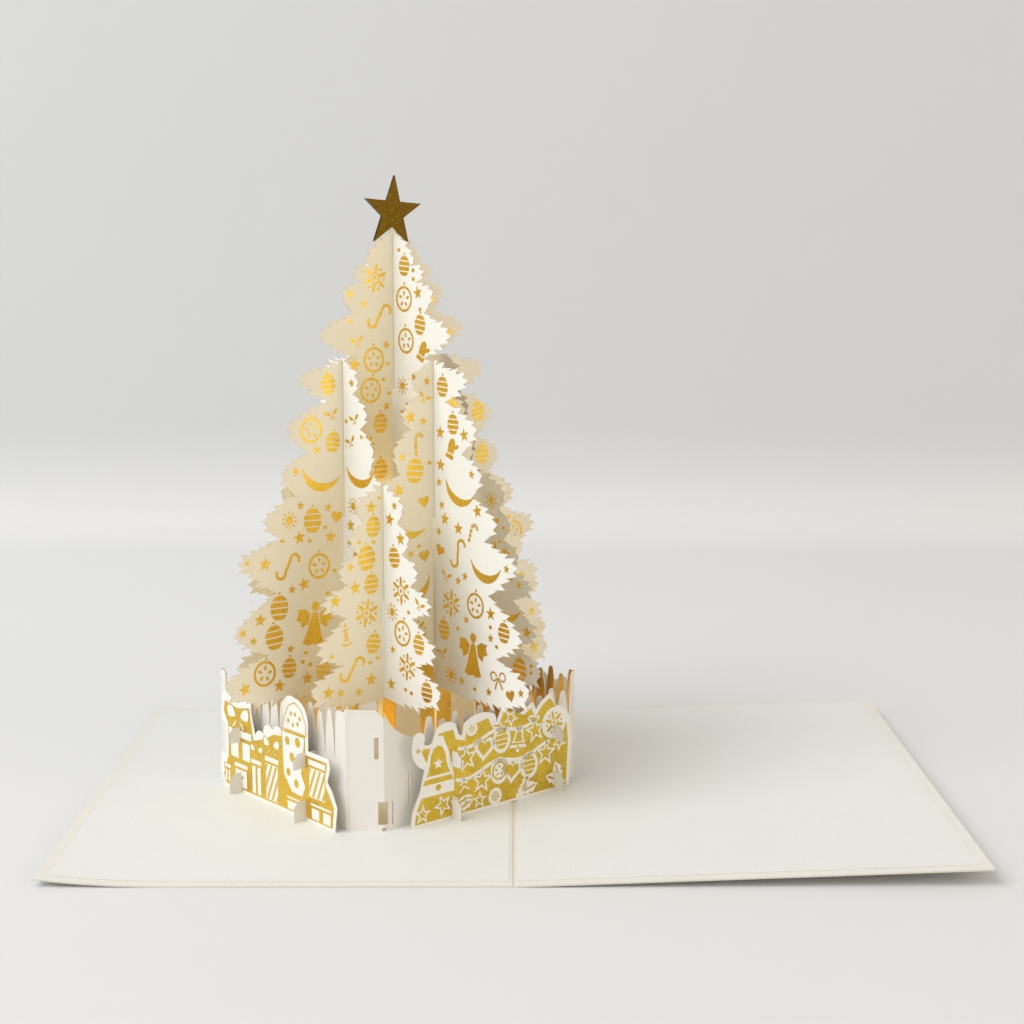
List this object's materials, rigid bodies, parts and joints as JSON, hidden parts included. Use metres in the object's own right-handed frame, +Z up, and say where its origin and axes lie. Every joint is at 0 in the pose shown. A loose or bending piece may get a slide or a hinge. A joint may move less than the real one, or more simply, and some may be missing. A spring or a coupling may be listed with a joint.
{
  "type": "pop up card",
  "caption": "Open folded greeting card with a slotted paper fir tree, gold star and a picket ring with printed relief panels.",
  "frame": {"origin": "bottom centre of the open card, on its crease", "axes": "+X along the open card's width to the right page, +Y from the reader to the back edge, +Z up through the tree"},
  "size_m": [0.2999, 0.2, 0.221],
  "materials": {
    "cover_card": "uncoated ivory card with a pressed crease",
    "liner_paper": "smooth ivory paper",
    "tree_paper": "smooth white paper with gold foil ornaments",
    "gold_foil": "glossy gold foil on card",
    "fence_paper": "smooth white paper",
    "relief_paper": "smooth white paper with gold foil fields",
    "spacer_paper": "plain white paper"
  },
  "bodies": {
    "root": {"card_cover": "cover_card", "liner_left": "liner_paper", "liner_right": "liner_paper", "tree_slice_a_rear": "tree_paper", "tree_slice_a_middle": "tree_paper", "tree_slice_a_front": "tree_paper", "tree_slice_b_front": "tree_paper", "tree_slice_b_middle": "tree_paper", "tree_slice_b_rear": "tree_paper", "star_topper": "gold_foil", "fence_front": "fence_paper", "fence_rear": "fence_paper", "relief_gifts_front": "relief_paper", "relief_gifts_rear": "relief_paper", "relief_banner_front": "relief_paper", "relief_banner_rear": "relief_paper", "spacer_gifts_front_near": "spacer_paper", "spacer_gifts_front_far": "spacer_paper", "spacer_gifts_rear_near": "spacer_paper", "spacer_gifts_rear_far": "spacer_paper", "spacer_banner_front_near": "spacer_paper", "spacer_banner_front_far": "spacer_paper", "spacer_banner_rear_near": "spacer_paper", "spacer_banner_rear_far": "spacer_paper"}
  },
  "joints": []
}
